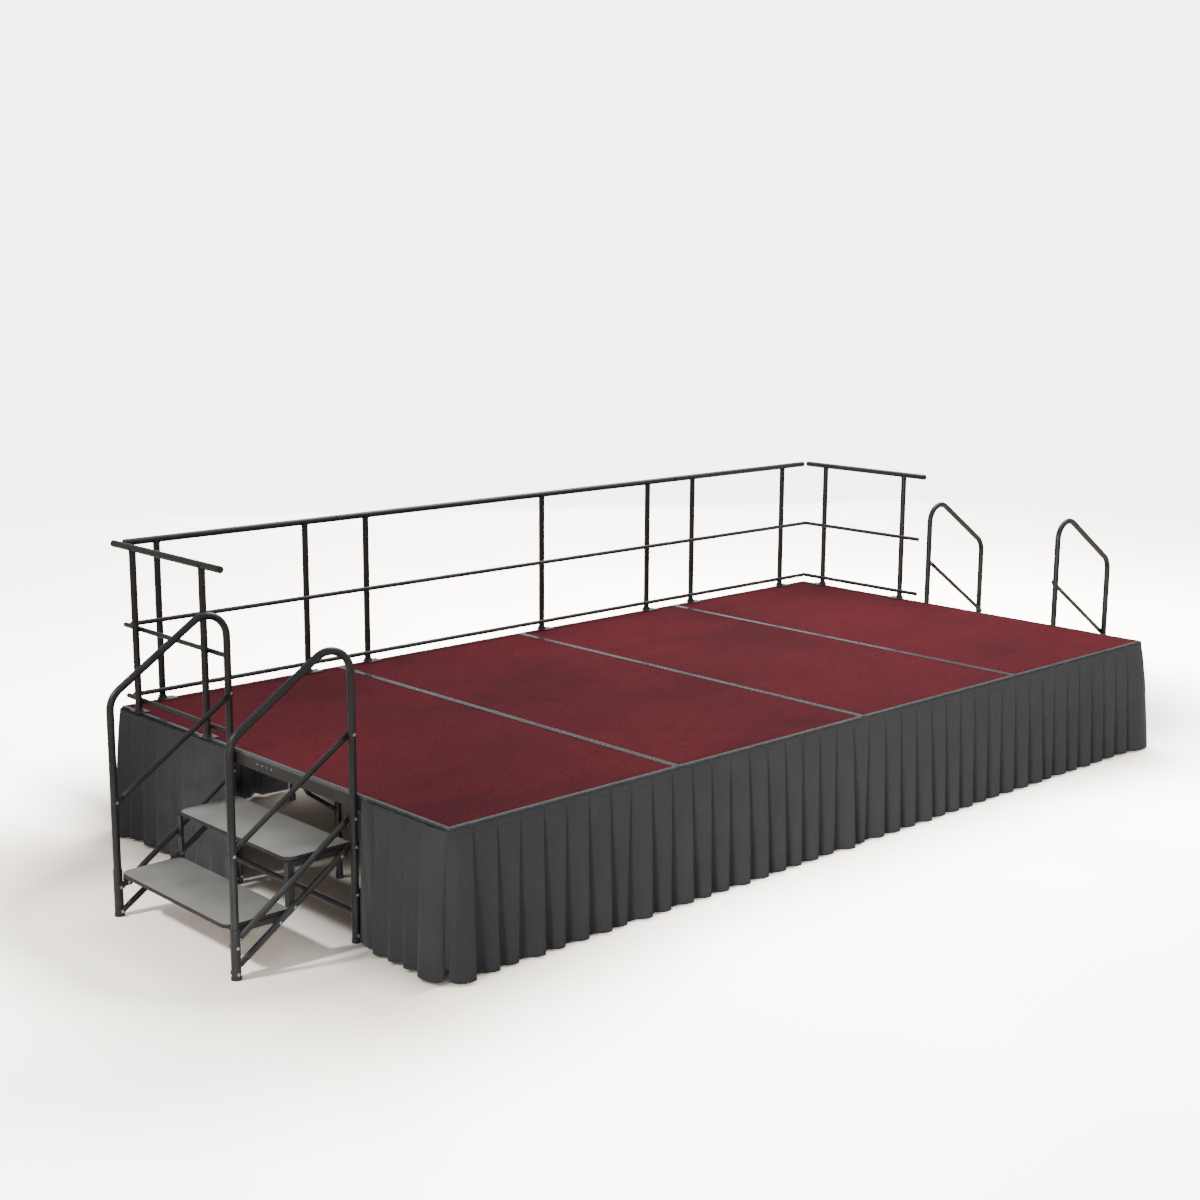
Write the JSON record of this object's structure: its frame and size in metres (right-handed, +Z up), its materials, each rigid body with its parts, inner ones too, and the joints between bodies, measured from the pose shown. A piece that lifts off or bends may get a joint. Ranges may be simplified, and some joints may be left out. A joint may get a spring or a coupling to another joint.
{
  "type": "portable stage riser platform",
  "caption": "Low portable stage: carpeted folding-leg deck units clamped in a row, pleated skirt, lift-off guard rails round the back and a short stair with handrails at each end.",
  "frame": {"origin": "on the floor under the middle of the deck, the bottom centre of the bounding box", "axes": "+X along the 16 ft front edge to the audience's right, +Y from the front edge to the back guard rail, +Z up"},
  "size_m": [6.052, 2.5764, 1.3909],
  "materials": {
    "carpet_red": "deep red cut-pile carpet",
    "deck_board": "bare plywood",
    "edge_trim": "satin mill finish",
    "black_steel": "semi-gloss black powder coat",
    "zinc": "bright zinc plate",
    "skirt_fabric": "charcoal woven polyester",
    "tread_laminate": "warm grey laminate with black edges"
  },
  "bodies": {
    "stage": {"carpet_1": "carpet_red", "carpet_2": "carpet_red", "carpet_3": "carpet_red", "carpet_4": "carpet_red", "deck_panels": "deck_board", "edge_trims": "edge_trim", "apron_frames": "black_steel", "unit_clips": "black_steel", "hinge_brackets": "black_steel", "stay_tracks": "black_steel", "rail_brackets": "zinc", "rail_spigots": "black_steel", "deck_fasteners": "zinc", "skirt_front": "skirt_fabric", "skirt_left_front": "skirt_fabric", "skirt_left_back": "skirt_fabric", "skirt_right_front": "skirt_fabric", "skirt_right_back": "skirt_fabric"},
    "leg_frame_1_front": {"leg_frame_1_front": "black_steel"},
    "lock_stay_1_front": {"lock_stay_1_front": "black_steel"},
    "leg_frame_1_middle": {"leg_frame_1_middle": "black_steel"},
    "lock_stay_1_middle": {"lock_stay_1_middle": "black_steel"},
    "leg_frame_1_back": {"leg_frame_1_back": "black_steel"},
    "lock_stay_1_back": {"lock_stay_1_back": "black_steel"},
    "leg_frame_2_front": {"leg_frame_2_front": "black_steel"},
    "lock_stay_2_front": {"lock_stay_2_front": "black_steel"},
    "leg_frame_2_middle": {"leg_frame_2_middle": "black_steel"},
    "lock_stay_2_middle": {"lock_stay_2_middle": "black_steel"},
    "leg_frame_2_back": {"leg_frame_2_back": "black_steel"},
    "lock_stay_2_back": {"lock_stay_2_back": "black_steel"},
    "leg_frame_3_front": {"leg_frame_3_front": "black_steel"},
    "lock_stay_3_front": {"lock_stay_3_front": "black_steel"},
    "leg_frame_3_middle": {"leg_frame_3_middle": "black_steel"},
    "lock_stay_3_middle": {"lock_stay_3_middle": "black_steel"},
    "leg_frame_3_back": {"leg_frame_3_back": "black_steel"},
    "lock_stay_3_back": {"lock_stay_3_back": "black_steel"},
    "leg_frame_4_front": {"leg_frame_4_front": "black_steel"},
    "lock_stay_4_front": {"lock_stay_4_front": "black_steel"},
    "leg_frame_4_middle": {"leg_frame_4_middle": "black_steel"},
    "lock_stay_4_middle": {"lock_stay_4_middle": "black_steel"},
    "leg_frame_4_back": {"leg_frame_4_back": "black_steel"},
    "lock_stay_4_back": {"lock_stay_4_back": "black_steel"},
    "guard_rail_back_left": {"guard_rail_back_left": "black_steel"},
    "guard_rail_back_middle": {"guard_rail_back_middle": "black_steel"},
    "guard_rail_back_right": {"guard_rail_back_right": "black_steel"},
    "guard_rail_left": {"guard_rail_left": "black_steel"},
    "guard_rail_right": {"guard_rail_right": "black_steel"},
    "left_stair": {"left_stair_treads": "tread_laminate", "left_stair_tread_brackets": "black_steel", "left_stair_stringers": "black_steel", "left_stair_handrails": "black_steel", "left_stair_legs": "black_steel", "left_stair_bolts": "zinc"},
    "right_stair": {"right_stair_treads": "tread_laminate", "right_stair_tread_brackets": "black_steel", "right_stair_stringers": "black_steel", "right_stair_handrails": "black_steel", "right_stair_legs": "black_steel", "right_stair_bolts": "zinc"}
  },
  "joints": [
    {"name": "leg_fold_1_front", "type": "hinge", "parent": "stage", "child": "leg_frame_1_front", "pos_m": [-1.8288, -1.11, 0.56], "axis": [1, 0, 0], "range_deg": [0, 90]},
    {"name": "stay_turn_1_front", "type": "hinge", "parent": "leg_frame_1_front", "child": "lock_stay_1_front", "pos_m": [-1.8288, -1.11, 0.39], "axis": [-1, 0, 0], "range_deg": [0, 131]},
    {"name": "leg_fold_1_middle", "type": "hinge", "parent": "stage", "child": "leg_frame_1_middle", "pos_m": [-1.8288, 0.017, 0.56], "axis": [-1, 0, 0], "range_deg": [0, 90]},
    {"name": "stay_turn_1_middle", "type": "hinge", "parent": "leg_frame_1_middle", "child": "lock_stay_1_middle", "pos_m": [-1.8288, 0.017, 0.39], "axis": [1, 0, 0], "range_deg": [0, 131]},
    {"name": "leg_fold_1_back", "type": "hinge", "parent": "stage", "child": "leg_frame_1_back", "pos_m": [-1.8288, 1.11, 0.56], "axis": [-1, 0, 0], "range_deg": [0, 90]},
    {"name": "stay_turn_1_back", "type": "hinge", "parent": "leg_frame_1_back", "child": "lock_stay_1_back", "pos_m": [-1.8288, 1.11, 0.39], "axis": [1, 0, 0], "range_deg": [0, 131]},
    {"name": "leg_fold_2_front", "type": "hinge", "parent": "stage", "child": "leg_frame_2_front", "pos_m": [-0.6096, -1.11, 0.56], "axis": [1, 0, 0], "range_deg": [0, 90]},
    {"name": "stay_turn_2_front", "type": "hinge", "parent": "leg_frame_2_front", "child": "lock_stay_2_front", "pos_m": [-0.6096, -1.11, 0.39], "axis": [-1, 0, 0], "range_deg": [0, 131]},
    {"name": "leg_fold_2_middle", "type": "hinge", "parent": "stage", "child": "leg_frame_2_middle", "pos_m": [-0.6096, 0.017, 0.56], "axis": [-1, 0, 0], "range_deg": [0, 90]},
    {"name": "stay_turn_2_middle", "type": "hinge", "parent": "leg_frame_2_middle", "child": "lock_stay_2_middle", "pos_m": [-0.6096, 0.017, 0.39], "axis": [1, 0, 0], "range_deg": [0, 131]},
    {"name": "leg_fold_2_back", "type": "hinge", "parent": "stage", "child": "leg_frame_2_back", "pos_m": [-0.6096, 1.11, 0.56], "axis": [-1, 0, 0], "range_deg": [0, 90]},
    {"name": "stay_turn_2_back", "type": "hinge", "parent": "leg_frame_2_back", "child": "lock_stay_2_back", "pos_m": [-0.6096, 1.11, 0.39], "axis": [1, 0, 0], "range_deg": [0, 131]},
    {"name": "leg_fold_3_front", "type": "hinge", "parent": "stage", "child": "leg_frame_3_front", "pos_m": [0.6096, -1.11, 0.56], "axis": [1, 0, 0], "range_deg": [0, 90]},
    {"name": "stay_turn_3_front", "type": "hinge", "parent": "leg_frame_3_front", "child": "lock_stay_3_front", "pos_m": [0.6096, -1.11, 0.39], "axis": [-1, 0, 0], "range_deg": [0, 131]},
    {"name": "leg_fold_3_middle", "type": "hinge", "parent": "stage", "child": "leg_frame_3_middle", "pos_m": [0.6096, 0.017, 0.56], "axis": [-1, 0, 0], "range_deg": [0, 90]},
    {"name": "stay_turn_3_middle", "type": "hinge", "parent": "leg_frame_3_middle", "child": "lock_stay_3_middle", "pos_m": [0.6096, 0.017, 0.39], "axis": [1, 0, 0], "range_deg": [0, 131]},
    {"name": "leg_fold_3_back", "type": "hinge", "parent": "stage", "child": "leg_frame_3_back", "pos_m": [0.6096, 1.11, 0.56], "axis": [-1, 0, 0], "range_deg": [0, 90]},
    {"name": "stay_turn_3_back", "type": "hinge", "parent": "leg_frame_3_back", "child": "lock_stay_3_back", "pos_m": [0.6096, 1.11, 0.39], "axis": [1, 0, 0], "range_deg": [0, 131]},
    {"name": "leg_fold_4_front", "type": "hinge", "parent": "stage", "child": "leg_frame_4_front", "pos_m": [1.8288, -1.11, 0.56], "axis": [1, 0, 0], "range_deg": [0, 90]},
    {"name": "stay_turn_4_front", "type": "hinge", "parent": "leg_frame_4_front", "child": "lock_stay_4_front", "pos_m": [1.8288, -1.11, 0.39], "axis": [-1, 0, 0], "range_deg": [0, 131]},
    {"name": "leg_fold_4_middle", "type": "hinge", "parent": "stage", "child": "leg_frame_4_middle", "pos_m": [1.8288, 0.017, 0.56], "axis": [-1, 0, 0], "range_deg": [0, 90]},
    {"name": "stay_turn_4_middle", "type": "hinge", "parent": "leg_frame_4_middle", "child": "lock_stay_4_middle", "pos_m": [1.8288, 0.017, 0.39], "axis": [1, 0, 0], "range_deg": [0, 131]},
    {"name": "leg_fold_4_back", "type": "hinge", "parent": "stage", "child": "leg_frame_4_back", "pos_m": [1.8288, 1.11, 0.56], "axis": [-1, 0, 0], "range_deg": [0, 90]},
    {"name": "stay_turn_4_back", "type": "hinge", "parent": "leg_frame_4_back", "child": "lock_stay_4_back", "pos_m": [1.8288, 1.11, 0.39], "axis": [1, 0, 0], "range_deg": [0, 131]},
    {"name": "rail_lift_back_left", "type": "slide", "parent": "stage", "child": "guard_rail_back_left", "axis": [0, 0, 1], "range_m": [0, 0.1]},
    {"name": "rail_lift_back_middle", "type": "slide", "parent": "stage", "child": "guard_rail_back_middle", "axis": [0, 0, 1], "range_m": [0, 0.1]},
    {"name": "rail_lift_back_right", "type": "slide", "parent": "stage", "child": "guard_rail_back_right", "axis": [0, 0, 1], "range_m": [0, 0.1]},
    {"name": "rail_lift_left", "type": "slide", "parent": "stage", "child": "guard_rail_left", "axis": [0, 0, 1], "range_m": [0, 0.1]},
    {"name": "rail_lift_right", "type": "slide", "parent": "stage", "child": "guard_rail_right", "axis": [0, 0, 1], "range_m": [0, 0.1]},
    {"name": "left_stair_pull_away", "type": "slide", "parent": "stage", "child": "left_stair", "axis": [-1, 0, 0], "range_m": [0, 0.3]},
    {"name": "right_stair_pull_away", "type": "slide", "parent": "stage", "child": "right_stair", "axis": [1, 0, 0], "range_m": [0, 0.3]}
  ],
  "couplings": [
    {"joint": "stay_turn_1_front", "follows": "leg_fold_1_front", "ratio": 1.4485},
    {"joint": "stay_turn_1_middle", "follows": "leg_fold_1_middle", "ratio": 1.4485},
    {"joint": "stay_turn_1_back", "follows": "leg_fold_1_back", "ratio": 1.4485},
    {"joint": "stay_turn_2_front", "follows": "leg_fold_2_front", "ratio": 1.4485},
    {"joint": "stay_turn_2_middle", "follows": "leg_fold_2_middle", "ratio": 1.4485},
    {"joint": "stay_turn_2_back", "follows": "leg_fold_2_back", "ratio": 1.4485},
    {"joint": "stay_turn_3_front", "follows": "leg_fold_3_front", "ratio": 1.4485},
    {"joint": "stay_turn_3_middle", "follows": "leg_fold_3_middle", "ratio": 1.4485},
    {"joint": "stay_turn_3_back", "follows": "leg_fold_3_back", "ratio": 1.4485},
    {"joint": "stay_turn_4_front", "follows": "leg_fold_4_front", "ratio": 1.4485},
    {"joint": "stay_turn_4_middle", "follows": "leg_fold_4_middle", "ratio": 1.4485},
    {"joint": "stay_turn_4_back", "follows": "leg_fold_4_back", "ratio": 1.4485}
  ]
}
